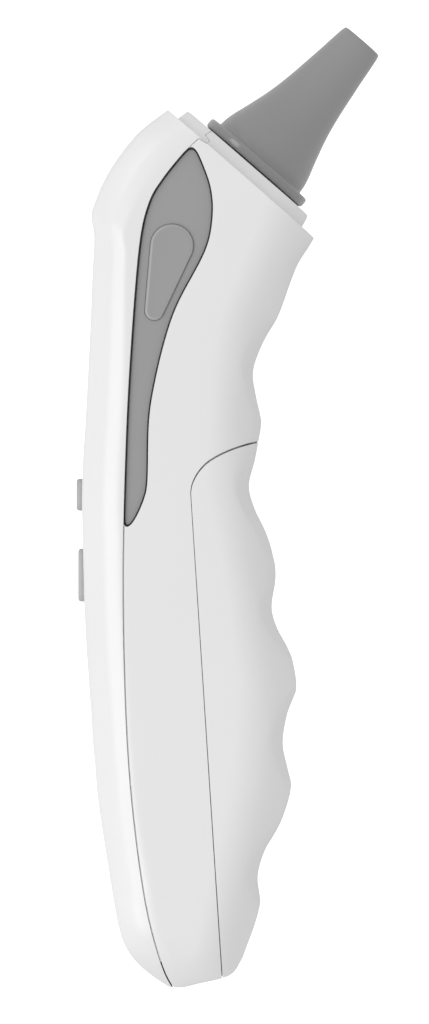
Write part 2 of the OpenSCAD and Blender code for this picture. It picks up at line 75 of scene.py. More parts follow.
# The back's line without the finger grooves: y, x. It counts only where it is behind the slices.
BACK_LINE = np.array([[-82, -6.5], [-75, 3.4], [-68, 5.75], [-55, 9.1], [-47.6, 11.1], [-38, 12.0],
                      [-30, 11.9], [-20, 10.2], [-10, 8.5], [2, 7.0], [14.8, 6.1], [24, 6.7],
                      [31, 7.9], [34, 9.2], [40, 11.5], [46.2, 14.8], [60, 20]])
# How far a groove's floor falls away at the half width, and how softly it meets the back
SCOOP, SCOOP_BLEND, SCOOP_FADE = 2.6, 0.2, 0.4
# Lines in the middle plane: between the shells, at the collar, round the panel and the door
PARTING = [[-4.9, 63.0], [-6.9, 61.1], [-10.9, 56.2], [-13.4, 51.8], [-15.0, 44.3], [-16.4, 27.1],
           [-17.3, 9.9], [-17.8, -11.6], [-17.4, -33.1], [-16.3, -50.3], [-14.0, -67.5],
           [-11.1, -78.6], [-8.7, -83.4]]
COLLAR_SEAM = [[3.8, 73.0], [-2.87, 64.26], [-3.83, 63.67], [-3.04, 62.64], [-3.54, 62.16]]
PANEL_BACK = [[-17.1, -3.5], [-16.6, -3.0], [-15.6, -1.5], [-14.4, 1.3], [-13.75, 4.4], [-13.5, 14.7],
              [-12.5, 21.3], [-10.7, 28.8], [-8.5, 35.0], [-3.8, 44.0], [-2.6, 50.0], [-2.9, 54.5],
              [-4.0, 57.9], [-5.1, 60.5], [-5.75, 61.5]]
DOOR_TOP = [[9.0, 11.9], [5.3, 11.4], [2.6, 10.7], [0.2, 9.85], [-2.0, 8.8], [-3.75, 7.6],
            [-5.15, 6.0], [-6.05, 4.2], [-6.33, 2.7], [-6.3, 1.7]]
DOOR_ANGLE = math.radians(3.7)
TRAVEL = np.array([math.sin(DOOR_ANGLE), -math.cos(DOOR_ANGLE)])
DOOR_START = np.array(DOOR_TOP[-1])
PROBE_ANGLE = math.radians(49)
AXIS = np.array([math.cos(PROBE_ANGLE), math.sin(PROBE_ANGLE)])
ACROSS = np.array([AXIS[1], -AXIS[0]])
LEDGE = 44.6 * AXIS - 35.1 * ACROSS
LENS_MID = np.array([-23.5, 29.4])
LENS_LEAN = math.radians(-2.6)
PANEL_TOP = 18.4
# Piece, node, body, x and y of its outer face's middle, length along y, depth
KEYS = [("key_upper", "mode_button", "mode_key", -25.9, 2.2, 5.5, 4.0),
        ("key_lower", "memory_button", "memory_key", -25.6, -11.6, 9.1, 3.8)]


# Curves in the middle plane
def curve(points, k):
    """A smooth line through the points, with k steps between neighbours."""
    p = np.asarray(points, float)
    out = []
    for i in range(len(p) - 1):
        a, b = p[max(i - 1, 0)], p[i]
        c, d = p[i + 1], p[min(i + 2, len(p) - 1)]
        for t in np.arange(k) / k:
            out.append(0.5 * (2 * b + (c - a) * t + (2 * a - 5 * b + 4 * c - d) * t * t
                              + (3 * b - a - 3 * c + d) * t ** 3))
    out.append(p[-1])
    return np.array(out)


def shifted(points, d):
    """The line moved to its left by d, which may differ from point to point."""
    p = np.asarray(points, float)
    ahead = np.vstack([p[1:], p[-1:]])
    back = np.vstack([p[:1], p[:-1]])
    step = ahead - back
    step /= np.linalg.norm(step, axis=1)[:, None]
    return p + np.reshape(d, (-1, 1)) * np.column_stack([-step[:, 1], step[:, 0]])


def resampled(points, spacing):
    """A closed outline with even steps."""
    p = np.vstack([points, points[:1]])
    run = np.concatenate([[0], np.cumsum(np.linalg.norm(np.diff(p, axis=0), axis=1))])
    at = np.linspace(0, run[-1], int(run[-1] / spacing), endpoint=False)
    return np.column_stack([np.interp(at, run, p[:, 0]), np.interp(at, run, p[:, 1])])


def softened(points, spacing, passes):
    """A closed outline with even steps and its corners smoothed away."""
    p = resampled(points, spacing)
    for _ in range(passes):
        p = 0.25 * np.roll(p, 1, 0) + 0.5 * p + 0.25 * np.roll(p, -1, 0)
    return p


def ccw(points):
    p = np.asarray(points, float)
    q = np.roll(p, -1, 0)
    return p if np.sum(p[:, 0] * q[:, 1] - p[:, 1] * q[:, 0]) > 0 else p[::-1]


def inset(points, d):
    """A closed outline drawn in by d."""
    p = ccw(points)
    e = np.roll(p, -1, 0) - p
    e /= np.linalg.norm(e, axis=1)[:, None]
    n = np.column_stack([-e[:, 1], e[:, 0]])
    m = n + np.roll(n, 1, 0)
    length = np.linalg.norm(m, axis=1)
    return p + d * m / np.maximum(length ** 2 / 2, 0.5)[:, None]


def rounded_box(x, y, r, steps=8):
    out = []
    for k, (sx, sy) in enumerate([(1, 1), (-1, 1), (-1, -1), (1, -1)]):
        for q in np.linspace(0, math.pi / 2, steps + 1) + k * math.pi / 2:
            out.append([(x / 2 - r) * sx + r * math.cos(q), (y / 2 - r) * sy + r * math.sin(q)])
    return np.array(out)


def circle(r, n=64):
    q = np.linspace(0, 2 * math.pi, n, endpoint=False)
    return np.column_stack([r * np.cos(q), r * np.sin(q)])


def rim(low, high, r_low=0.0, r_high=0.0, steps=5):
    """Heights and insets of a flat-sided shape with rounded rims."""
    if r_low:
        out = [(low, r_low * 1.3)] + [(low + r_low * (1 - math.cos(q)), r_low * (1 - math.sin(q)))
                                      for q in np.linspace(0, math.pi / 2, steps)]
    else:
        out = [(low, 0.0)]
    if r_high:
        out += [(high - r_high * (1 - math.sin(q)), r_high * (1 - math.cos(q)))
                for q in np.linspace(0, math.pi / 2, steps)] + [(high, r_high * 1.3)]
    else:
        out += [(high, 0.0)]
    return out


# Frames: each takes a shape's own (a, b, c) to the middle plane's x, y, z
def flat(a, b, c):
    return a, b, c


def flipped(a, b, c):
    return a, b, -c


def on_probe(a, b, c):
    return LEDGE[0] + a * ACROSS[0] + c * AXIS[0], LEDGE[1] + a * ACROSS[1] + c * AXIS[1], -b


def on_lens(a, b, c):
    s, k = math.sin(LENS_LEAN), math.cos(LENS_LEAN)
    return LENS_MID[0] + c * k - b * s, LENS_MID[1] + c * s + b * k, a


def on_door(a, b, c):
    s, k = math.sin(DOOR_ANGLE), math.cos(DOOR_ANGLE)
    return DOOR_START[0] + c * k - b * s, DOOR_START[1] + c * s + b * k, a


def on_key(x, y):
    return lambda a, b, c: (x + c, y + b, a)


def at(place, x=0.0, y=0.0, z=0.0):
    """A frame with its own origin moved along its own axes."""
    return lambda a, b, c: place(a + x, b + y, c + z)


# Solids
def make(verts, faces, merge=0.0):
    mesh = bpy.data.meshes.new("solid")
    mesh.from_pydata([tuple(map(float, v)) for v in verts], [], faces)
    work = bmesh.new()
    work.from_mesh(mesh)
    if merge:
        bmesh.ops.remove_doubles(work, verts=work.verts, dist=merge)
    bmesh.ops.recalc_face_normals(work, faces=work.faces)
    work.to_mesh(mesh)
    work.free()
    o = bpy.data.objects.new("solid", mesh)
    bpy.context.scene.collection.objects.link(o)
    return o


def wrap(rings, closed_ends=True):
    """Vertices and faces of a skin over rings of equal length."""
    n = len(rings[0])
    verts = [v for r in rings for v in r]
    faces = []
    for k in range(len(rings) - 1):
        for i in range(n):
            j = (i + 1) % n
            faces.append((k * n + i, k * n + j, (k + 1) * n + j, (k + 1) * n + i))
    if closed_ends:
        faces.append(tuple(range(n - 1, -1, -1)))
        faces.append(tuple((len(rings) - 1) * n + i for i in range(n)))
    return verts, faces


def prism(outline, profile, place=flat):
    """An outline carried through (height, inset) steps."""
    rings = []
    for c, d in profile:
        rings.append([place(a, b, c) for a, b in (inset(outline, d) if d else ccw(outline))])
    return make(*wrap(rings))


def slab(points, low=-FAR, high=FAR):
    return prism(points, [(low, 0), (high, 0)])


def box(low, high, place=flat):
    """A box given by its corners in its frame's own (a, b, c)."""
    size = [h - l for l, h in zip(low, high)]
    mid = [(h + l) / 2 for l, h in zip(low, high)]
    r = min(0.15, 0.3 * min(size))
    return prism(rounded_box(size[0], size[1], r, 3),
                 rim(low[2], high[2], r, r, 3), at(place, mid[0], mid[1]))


def revolve(profile, place, n=96):
    """A closed (radius, height) profile turned about its own axis. Radius 0 ends on the axis."""
    rings = []
    for r, z in profile:
        rings.append([place(r * math.cos(q), r * math.sin(q), z)
                      for q in np.linspace(0, 2 * math.pi, n, endpoint=False)])
    verts, faces = wrap(rings, False)
    count = len(rings)
    if profile[0][0] > 1e-6 or profile[-1][0] > 1e-6:
        last = (count - 1) * n
        faces += [(last + i, last + (i + 1) % n, (i + 1) % n, i) for i in range(n)]
    return make(verts, faces, merge=1e-4)


def remove(o):
    mesh = o.data
    bpy.data.objects.remove(o)
    bpy.data.meshes.remove(mesh)


def combine(target, operation, tools):
    """Boolean operations on the target, which use up the tools."""
    for tool in tools:
        m = target.modifiers.new("shape", "BOOLEAN")
        m.operation, m.object = operation, tool
        m.solver = "MANIFOLD"
    bpy.context.view_layer.update()
    deps = bpy.context.evaluated_depsgraph_get()
    mesh = bpy.data.meshes.new_from_object(target.evaluated_get(deps))
    target.modifiers.clear()
    old = target.data
    target.data = mesh
    bpy.data.meshes.remove(old)
    for tool in tools:
        remove(tool)
    return target


def cut(target, *tools):
    return combine(target, "DIFFERENCE", tools)


def add(target, *tools):
    return combine(target, "UNION", tools)


def tree(o):
    return BVHTree.FromPolygons([v.co.copy() for v in o.data.vertices],
                                [tuple(p.vertices) for p in o.data.polygons])


# The casing's outer and inner skins
def bend(a, b, c, steps):
    """Points of the rounding from a to c about the corner b."""
    a, b, c = np.array(a), np.array(b), np.array(c)
    return [list((1 - t) ** 2 * a + 2 * t * (1 - t) * b + t * t * c)
            for t in np.linspace(0, 1, steps)]


def half_ring(length, w, side, front_r, back_r):
    """Half of a slice, from the middle of the front over the side to the middle of the back."""
    k = front_r / FRONT_ROUND
    p = np.linspace(0, math.pi / 2, 33)
    lead = np.linspace(0, w - 4.4 * k, 6)[:-1]
    flat_x = np.linspace(7.0 * k, side, 8)[1:-1]
    tail = np.linspace(w - back_r, 0, 6)[1:]
    return np.array(
        [[0, z] for z in lead]
        + bend([0, w - 4.4 * k], [0, w - 3.3 * k], [0.9 * k, w - 2.65 * k], 6)
        + bend([3.0 * k, w - 1.3 * k], [3.7 * k, w - 0.85 * k], [4.5 * k, w - 0.6 * k], 5)
        + bend([5.4 * k, w - 0.3 * k], [6.3 * k, w], [7.0 * k, w], 6)
        + [[x, w] for x in flat_x]
        + [[side + (length - side) * math.sin(t), w - back_r * (1 - math.cos(t))] for t in p]
        + [[length, z] for z in tail])


def casing(d):
    """A solid inside the casing's skin moved in by d."""
    rows = SLICES
    if d:  # its ends stay under the outer skin's ends
        rows = np.vstack([SLICES[0] - d * np.array([AXIS[0], AXIS[1], AXIS[0], AXIS[1], 0]),
                          SLICES[1:-2]])
    rings = []
    for s in curve(rows, 4):
        front = s[:2]
        along = s[2:4] - front
        length = np.linalg.norm(along)
        along = along / length
        w = s[4] * HALF_W - d
        length -= 2 * d
        side_x = np.interp(s[3], SIDE_END[:, 0], SIDE_END[:, 1])
        side = min((side_x - s[0]) / along[0] - d, 0.8 * length)
        fuller = max(np.interp(s[3], BACK_LINE[:, 0], BACK_LINE[:, 1]) - s[2], 0) if d < 1 else 0
        h = half_ring(length + fuller / along[0], w, side, min(FRONT_ROUND - d, 0.3 * length),
                      min(BACK_ROUND, 0.7 * w))
        if fuller:  # a finger groove is scooped out of the fuller back
            scoop = length - SCOOP * (h[:, 1] / HALF_W) ** 2
            over = (h[:, 0] - scoop) / SCOOP_BLEND
            h[:, 0] -= SCOOP_BLEND * np.logaddexp(0, over) * min(fuller / SCOOP_FADE, 1)
        h = np.vstack([h, (h * [1, -1])[-2:0:-1]])
        start = front + d * along
        rings.append([(start[0] + x * along[0], start[1] + x * along[1], z) for x, z in h])
    return make(*wrap(rings))


def casing_with_collar():
    outline = rounded_box(28.1, 33.6, 7, 14)
    collar = prism(outline, [(-WALL / 2, 0), (0.2, 0), (1.9, 0.35), (2.05, 0.42), (2.15, 0.55),
                             (2.2, 0.75)], at(on_probe, -0.95))
    return add(casing(0), collar)


# Lines that divide the casing, and the gaps left to one side of them at each point
SEAM = np.vstack([COLLAR_SEAM, curve(PARTING, 6), [[-8.4, -FAR]]])
SEAM_GAP = np.interp(SEAM[:, 1], [-8, -3, 30, 60.5, 61.5], [0.11, 0.1, 0.15, 0.15, 0.05])
SEAM_GAP[:len(COLLAR_SEAM)] = 0.025


def in_front(share):
    """All that lies in front of the seam, whose line is moved by a share of its gap."""
    return slab(np.vstack([shifted(SEAM, -share * SEAM_GAP), [[-FAR, -FAR], [-FAR, 75], [3, 75]]]))


def behind(share):
    return slab(np.vstack([shifted(SEAM, -share * SEAM_GAP), [[FAR, -FAR], [FAR, 75]]]))


def tongue(line, back, ahead, depth=0.2, half=FAR):
    """A lip under the skin that closes a dividing line's gap from inside."""
    strip = slab(np.vstack([shifted(line, back), shifted(line, ahead)[::-1]]), -half, half)
    return cut(combine(casing(depth), "INTERSECT", [strip]), casing(LIP_FLOOR))


def door_line(end):
    """The door's edge: its round top, then straight along its travel for the given distance."""
    straight = [DOOR_START + s * TRAVEL for s in (1, 3, 6, end)]
    return np.vstack([curve(DOOR_TOP, 8), straight])


DOOR_LINE = door_line(90)
DOOR_GAP = np.interp(DOOR_LINE[:, 1], [-60, -30, 2, 5, 8], [0.15, 0.1, 0.1, 0.2, 0.28])


def door_space(share):
    return slab(np.vstack([shifted(DOOR_LINE, share * DOOR_GAP), [[FAR, -FAR], [FAR, 12]]]))


def panel_outline(front_gap, grow):
    """The side panel's outline, front_gap behind the parting line and grown at its back."""
    front = curve(PARTING, 30)
    front = front[(front[:, 1] > -3.1) & (front[:, 1] < 61.3)]
    return softened(np.vstack([shifted(front, front_gap), shifted(curve(PANEL_BACK, 4), -grow)]),
                    0.25, 12)


def teardrop(grow):
    """The scan button's outline, round two circles of x, y and radius, grown by an amount."""
    big, small = np.array([-9.5, 44.7, 3.7]), np.array([-12.5, 33.6, 1.65])
    step = small[:2] - big[:2]
    turn = math.atan2(step[1], step[0])
    spread = math.acos((big[2] - small[2]) / np.linalg.norm(step))
    out = []
    for q in np.linspace(turn + spread, turn + 2 * math.pi - spread, 48):
        out.append(big[:2] + (big[2] + grow) * np.array([math.cos(q), math.sin(q)]))
    for q in np.linspace(turn - spread, turn + spread, 28):
        out.append(small[:2] + (small[2] + grow) * np.array([math.cos(q), math.sin(q)]))
    return np.array(out)


# Materials
def nodes_of(name):
    m = bpy.data.materials.new(name)
    m.use_nodes = True
    t = m.node_tree
    shader = next(n for n in t.nodes if n.type == "BSDF_PRINCIPLED")
    return m, t, shader


def noise(t, scale, detail):
    coord = t.nodes.new("ShaderNodeTexCoord")
    n = t.nodes.new("ShaderNodeTexNoise")
    n.inputs["Scale"].default_value = scale
    n.inputs["Detail"].default_value = detail
    t.links.new(coord.outputs["Object"], n.inputs["Vector"])
    return n.outputs["Fac"]


def ramp(t, source, low, high, start=0.3, end=0.7):
    """Low up to the start, high from the end on, and a straight change between them."""
    r = t.nodes.new("ShaderNodeMapRange")
    r.inputs["From Min"].default_value, r.inputs["From Max"].default_value = start, end
    r.inputs["To Min"].default_value, r.inputs["To Max"].default_value = low, high
    t.links.new(source, r.inputs["Value"])
    return r.outputs["Result"]


def tint(t, source, low, high):
    """The same for colours."""
    r = t.nodes.new("ShaderNodeValToRGB")
    r.color_ramp.elements[0].position, r.color_ramp.elements[1].position = 0.3, 0.7
    r.color_ramp.elements[0].color = (*low, 1)
    r.color_ramp.elements[1].color = (*high, 1)
    t.links.new(source, r.inputs["Fac"])
    return r.outputs["Color"]


def bumps(t, shader, height, depth, strength=1.0, edge=0.0):
    """A bump map of a depth, over edges rounded by a radius."""
    bump = t.nodes.new("ShaderNodeBump")
    bump.inputs["Distance"].default_value = depth * MM
    bump.inputs["Strength"].default_value = strength
    t.links.new(height, bump.inputs["Height"])
    if edge:
        bevel = t.nodes.new("ShaderNodeBevel")
        bevel.samples = 4
        bevel.inputs["Radius"].default_value = edge * MM
        t.links.new(bevel.outputs["Normal"], bump.inputs["Normal"])
    t.links.new(bump.outputs["Normal"], shader.inputs["Normal"])


def material(name, colour, rough, spread, grain, depth, blotch, metal=0.0, coat=0.0, edge=0.12):
    """Moulded or rolled stuff: a fine grain in bump and gloss, slow colour changes, soft edges."""
    m, t, shader = nodes_of(name)
    c = np.array(colour, float)
    slow = noise(t, blotch, 2.0)
    fine = noise(t, grain, 3.0)
    t.links.new(tint(t, slow, tuple(c * (1 - spread)), tuple(np.minimum(c * (1 + spread), 1))),
                shader.inputs["Base Color"])
    t.links.new(ramp(t, fine, rough - 0.04, rough + 0.04), shader.inputs["Roughness"])
    shader.inputs["Metallic"].default_value = metal
    shader.inputs["Coat Weight"].default_value = coat
    bumps(t, shader, fine, depth, 0.6, edge)
    return m


# Colour, roughness, share of colour change, grain's scale and depth, and the colour's own scale
LOOKS = {
    "white_casing": material("white_casing", (0.84, 0.84, 0.845), 0.32, 0.006, 2600, 0.004, 40),
    "grey_plastic": material("grey_plastic", (0.335, 0.335, 0.335), 0.55, 0.012, 2400, 0.012, 60),
    # Painted highlight: a lighter copy of grey_plastic on the scan buttons' rims
    "painted_rim_highlight": material("painted_rim_highlight", (0.42, 0.42, 0.42), 0.5, 0.012, 2400, 0.01, 60, edge=0),
    "key_plastic": material("key_plastic", (0.46, 0.47, 0.48), 0.5, 0.02, 2600, 0.01, 80),
    "probe_plastic": material("probe_plastic", (0.295, 0.295, 0.295), 0.18, 0.015, 1500, 0.001, 50,
                              coat=0.25),
    "lens": material("lens", (0.012, 0.013, 0.015), 0.06, 0.1, 900, 0.001, 60, coat=0.5),
    "lcd_glass": material("lcd_glass", (0.36, 0.41, 0.36), 0.16, 0.03, 6000, 0.001, 120, edge=0),
    "clear_plastic": material("clear_plastic", (0.75, 0.8, 0.78), 0.2, 0.02, 1500, 0.004, 60),
    "inner_plastic": material("inner_plastic", (0.7, 0.7, 0.68), 0.5, 0.02, 2600, 0.01, 60),
    "dark_rubber": material("dark_rubber", (0.02, 0.02, 0.021), 0.7, 0.2, 3000, 0.02, 200),
    "circuit_board": material("circuit_board", (0.02, 0.16, 0.07), 0.35, 0.15, 1200, 0.01, 900),
    "dark_plastic": material("dark_plastic", (0.03, 0.03, 0.032), 0.5, 0.15, 3000, 0.015, 200),
    "board_parts": material("board_parts", (0.42, 0.33, 0.2), 0.4, 0.2, 3000, 0.01, 500),
    "plated_steel": material("plated_steel", (0.72, 0.71, 0.68), 0.25, 0.04, 2500, 0.006, 150,
                             metal=1.0, edge=0.08),
    "gold_can": material("gold_can", (0.75, 0.58, 0.3), 0.25, 0.05, 2500, 0.004, 150, metal=1.0),
    "sensor_window": material("sensor_window", (0.03, 0.035, 0.05), 0.08, 0.1, 1200, 0.001, 200,
                              coat=0.5),
    "flex_film": material("flex_film", (0.55, 0.24, 0.06), 0.3, 0.06, 2500, 0.004, 300),
    "cell_sleeve": material("cell_sleeve", (0.05, 0.12, 0.3), 0.3, 0.04, 1500, 0.003, 120),
    # Painted shade: mid grey on the walls of the battery door's gap
    "painted_door_gap_shade": material("painted_door_gap_shade", (0.3, 0.3, 0.3), 0.7, 0.03, 3000, 0.0, 200, edge=0),
    # Painted shadow: near black on the walls of the gaps along the seams
    "painted_seam_shadow": material("painted_seam_shadow", (0.012, 0.012, 0.012), 0.9, 0.1, 3000, 0.0, 200, edge=0),
}


def banded_sleeve():
    """The cell's printed film: two plain bands along its length."""
    m, t, shader = nodes_of("cell_band")
    coord = t.nodes.new("ShaderNodeTexCoord")
    split = t.nodes.new("ShaderNodeSeparateXYZ")
    t.links.new(coord.outputs["Object"], split.inputs["Vector"])
    band = ramp(t, split.outputs["Y"], 0, 1, -26.2 * MM, -26 * MM)
    t.links.new(tint(t, band, (0.045, 0.1, 0.26), (0.55, 0.56, 0.58)), shader.inputs["Base Color"])
    fine = noise(t, 1500, 3.0)
    t.links.new(ramp(t, fine, 0.24, 0.32), shader.inputs["Roughness"])
    bumps(t, shader, fine, 0.003)
    return m


def computed(t, operation, source, other):
    """A Math node's result, with another output or a number as its second value."""
    n = t.nodes.new("ShaderNodeMath")
    n.operation = operation
    t.links.new(source, n.inputs[0])
    if isinstance(other, float):
        n.inputs[1].default_value = other
    else:
        t.links.new(other, n.inputs[1])
    return n.outputs[0]


def lens_window():
    """Black-printed lens with a clear window over the display."""
    m, t, shader = nodes_of("lens_print")
    shader.inputs["Coat Weight"].default_value = 0.5
    fine = noise(t, 900, 2.0)
    t.links.new(tint(t, fine, (0.011, 0.012, 0.014), (0.014, 0.015, 0.017)),
                shader.inputs["Base Color"])
    t.links.new(ramp(t, fine, 0.05, 0.08), shader.inputs["Roughness"])
    coord = t.nodes.new("ShaderNodeTexCoord")
    split = t.nodes.new("ShaderNodeSeparateXYZ")
    t.links.new(coord.outputs["Object"], split.inputs["Vector"])
    spans = []
    for axis, mid, half in (("Y", 29.4, 12.2), ("Z", HALF_W, 10.2)):
        above = computed(t, "GREATER_THAN", split.outputs[axis], (mid - half) * MM)
        below = computed(t, "LESS_THAN", split.outputs[axis], (mid + half) * MM)
        spans.append(computed(t, "MULTIPLY", above, below))
    inside = computed(t, "MULTIPLY", *spans)
    clear = t.nodes.new("ShaderNodeBsdfTransparent")
    clear.inputs["Color"].default_value = (0.9, 0.93, 0.92, 1)
    gloss = t.nodes.new("ShaderNodeBsdfGlossy")
    gloss.inputs["Roughness"].default_value = 0.05
    fresnel = t.nodes.new("ShaderNodeFresnel")
    fresnel.inputs["IOR"].default_value = 1.45
    window = t.nodes.new("ShaderNodeMixShader")
    t.links.new(fresnel.outputs[0], window.inputs[0])
    t.links.new(clear.outputs[0], window.inputs[1])
    t.links.new(gloss.outputs[0], window.inputs[2])
    mix = t.nodes.new("ShaderNodeMixShader")
    t.links.new(inside, mix.inputs[0])
    t.links.new(shader.outputs[0], mix.inputs[1])
    t.links.new(window.outputs[0], mix.inputs[2])
    out = next(n for n in t.nodes if n.type == "OUTPUT_MATERIAL")
    t.links.new(mix.outputs[0], out.inputs["Surface"])
    return m


replaced = set()


def finish_mesh(o, name, slot, body, nodes, look=None, sharp=32, painted_faces=None,
                others=("painted_seam_shadow", "painted_door_gap_shade")):
    """Turns a solid in millimetres into a piece in metres, with its finish and body, and hides the CAD
    nodes it stands for.

    The look is the slot's own unless given. The face list gives each face 0 for it, or 1 and up for
    the others, which paint shade into gaps or a highlight onto button rims.
    """
    mesh = o.data
    co = np.empty(len(mesh.vertices) * 3)
    mesh.vertices.foreach_get("co", co)
    co = co.reshape(-1, 3)
    co[:, 2] += HALF_W
    mesh.vertices.foreach_set("co", (co * MM).ravel())
    o.name = mesh.name = name
    mesh.materials.clear()
    mesh.materials.append(look or LOOKS[slot])
    for other in others if painted_faces else ():
        mesh.materials.append(LOOKS[other])
    for p, k in zip(mesh.polygons, painted_faces or [0] * len(mesh.polygons)):
        p.material_index = k
    mesh.polygons.foreach_set("use_smooth", [True] * len(mesh.polygons))
    mesh.set_sharp_from_angle(angle=math.radians(sharp))
    mesh.update()
    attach(o, body)
    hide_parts(*nodes)
    replaced.update(nodes)


# A gap's wall, which gets painted shadow: its least and greatest depth under the skin, reach from the
# line, and z of its normal
WALL_TOP, WALL_FOOT, WALL_REACH, WALL_TILT = 0.03, 1.6, 0.5, 0.6


def seam_faces(o, outer, lines, look=1):
    """For each face the given look if it is a wall of the gaps along the lines, else 0. The looks
    paint shadow into the gaps.
    """
    pts = np.vstack([resampled(line, 0.25) for line in lines])
    found = []
    for p in o.data.polygons:
        c = p.center
        away = outer.find_nearest(c)[3]
        near = np.min(np.hypot(pts[:, 0] - c.x, pts[:, 1] - c.y)) < WALL_REACH
        steep = abs(p.normal.z) < WALL_TILT
        found.append(look if WALL_TOP < away < WALL_FOOT and near and steep else 0)
    return found


# What stands in the cavity or is cut out of it. Screws: y, z, x
def rod(place, y, z, r, low, high, foot=0.0):
    """A round post along its frame's third axis, wider at its start by a foot."""
    profile = [(low, -foot), (low + 0.6, -foot), (high, 0)] if foot else [(low, 0), (high, 0)]
    return prism(circle(r, 32), profile, at(place, z, y))


BOARD_SCREWS = [(y, z, x) for z in (-9.2, 9.2) for y, x in ((-19.6, 1.3), (-43.4, 2.3))]
CASE_SCREWS = [(y, z * s, x) for s in (-1, 1) for y, z, x in ((-4.5, 13.4, 17.5), (-68, 9, 16.3))]
CELL_R, CELL_X, CELL_Z, POCKET_R = 5.25, 2.7, 5.6, 5.55
BAY_LOW, BAY_HIGH, BAY_WALL = -61.0, -11.5, 1.2
RAIL_LOW, RAIL_HIGH = -55.0, -10.0


def probe_hole():
    return prism(circle(8.2, 96), [(-3.6, 0), (4.0, 0)], on_probe)


def plate(low, high, y, z, r, r_low=0.0):
    """A rounded plate on the display lens's own frame."""
    return prism(rounded_box(z, y, r, 10), rim(low, high, r_low), on_lens)


def front_shell():
    cavity = casing(WALL)
    posts = [rod(on_lens, y, z, 1.6, x, 7.6, 0.2) for y, z, x in BOARD_SCREWS]
    posts += [rod(on_door, y, z, 2.3, -x, -8.1, 0.2) for y, z, x in CASE_SCREWS]
    cavity = cut(cavity, *posts)
    keys = [prism(rounded_box(13.6, n + 0.6, 2.2, 10), [(-3, 0), (4, 0)], on_key(x, y))
            for _, _, _, x, y, n, _ in KEYS]
    return cut(casing_with_collar(), behind(1), cavity, probe_hole(),
               plate(-1, 1.1, 33.3, 26.3, 3), plate(0, 3.6, 28, 21, 1), *keys)


def bay():
    """The cradle under the cells, the bay's end walls, and the door's rails."""
    w = CELL_Z + CELL_R + 1
    parts = [box([-w, BAY_LOW - BAY_WALL, -4.6], [w, BAY_HIGH + BAY_WALL, -0.5], on_door)]
    parts += [box([-w, y, -0.5], [w, y + BAY_WALL, 5], on_door)
              for y in (BAY_LOW - BAY_WALL, BAY_HIGH)]
    for s in (1, -1):
        for low, high in (((14.2, -0.5), (15.2, 3.4)), ((14.2, 2.4), (16.7, 3.4))):
            a = sorted((s * low[0], s * high[0]))
            parts.append(box([a[0], RAIL_LOW, low[1]], [a[1], RAIL_HIGH, high[1]], on_door))
    return parts


def through_sides(outline):
    """An outline carried through both side walls."""
    return [slab(outline, 15.4, 20), slab(outline, -20, -15.4)]


def rear_shell():
    deck_line = door_line(80.5)
    deck = slab(np.vstack([shifted(deck_line, 1), shifted(deck_line, -1.5)[::-1]]))
    posts = [rod(on_door, y, z, 2.3, -8, -0.5) for y, z, _ in CASE_SCREWS]
    cavity = cut(casing(WALL), deck, *posts, *bay())
    space = cut(door_space(0), *bay())
    cells = [prism(circle(POCKET_R, 64), [(BAY_LOW, 0), (BAY_HIGH, 0)],
                   lambda a, b, c, z=z: on_door(a + z, c, b + CELL_X)) for z in (-CELL_Z, CELL_Z)]
    holes = [rod(on_door, y, z, r, low, 1)
             for r, low in ((1.3, -9), (2.2, -1.4)) for y, z, _ in CASE_SCREWS]
    reach, share = 1.2, 0.85
    ahead = share * DOOR_GAP
    lips = add(tongue(SEAM, reach, -share * SEAM_GAP), tongue(DOOR_LINE, -reach, ahead, 0.7),
               tongue(DOOR_LINE, -reach, ahead, 0.15, 9.5))
    lips = cut(lips, probe_hole(), *through_sides(panel_outline(-0.3, 0.3)))
    shell = cut(casing_with_collar(), in_front(-1), cavity, space, probe_hole(),
                *through_sides(panel_outline(-1, 0.08)), *cells, *holes)
    return add(shell, lips)


def door_shell():
    door = combine(casing(0), "INTERSECT", [door_space(1)])
    strips = [box([min(s * 15.6, s * 17.5), RAIL_LOW, 0.4], [max(s * 15.6, s * 17.5), RAIL_HIGH, 2],
                  on_door) for s in (1, -1)]
    return add(cut(door, casing(WALL)), *strips)


whole = casing_with_collar()
skin = tree(whole)
remove(whole)
front = front_shell()
# The walls of the seam's gap get painted shadow
finish_mesh(front, "front_shell", "white_casing", "casing", ["front_case"],
            painted_faces=seam_faces(front, skin, [SEAM]))
rear = rear_shell()
# The walls of the door's gap get painted shade, the third look
by_door = seam_faces(rear, skin, [DOOR_LINE], 2)
# The walls of the gaps along the seam and round the panel get painted shadow
by_front = seam_faces(rear, skin, [SEAM, panel_outline(0.2, 0)])
finish_mesh(rear, "rear_shell", "white_casing", "casing", ["rear_case"],
            painted_faces=[a or b for a, b in zip(by_door, by_front)])
door = door_shell()
# The door's own gap walls get painted shade as well
finish_mesh(door, "door_shell", "white_casing", "door", ["battery_door"],
            painted_faces=seam_faces(door, skin, [DOOR_LINE], 2))

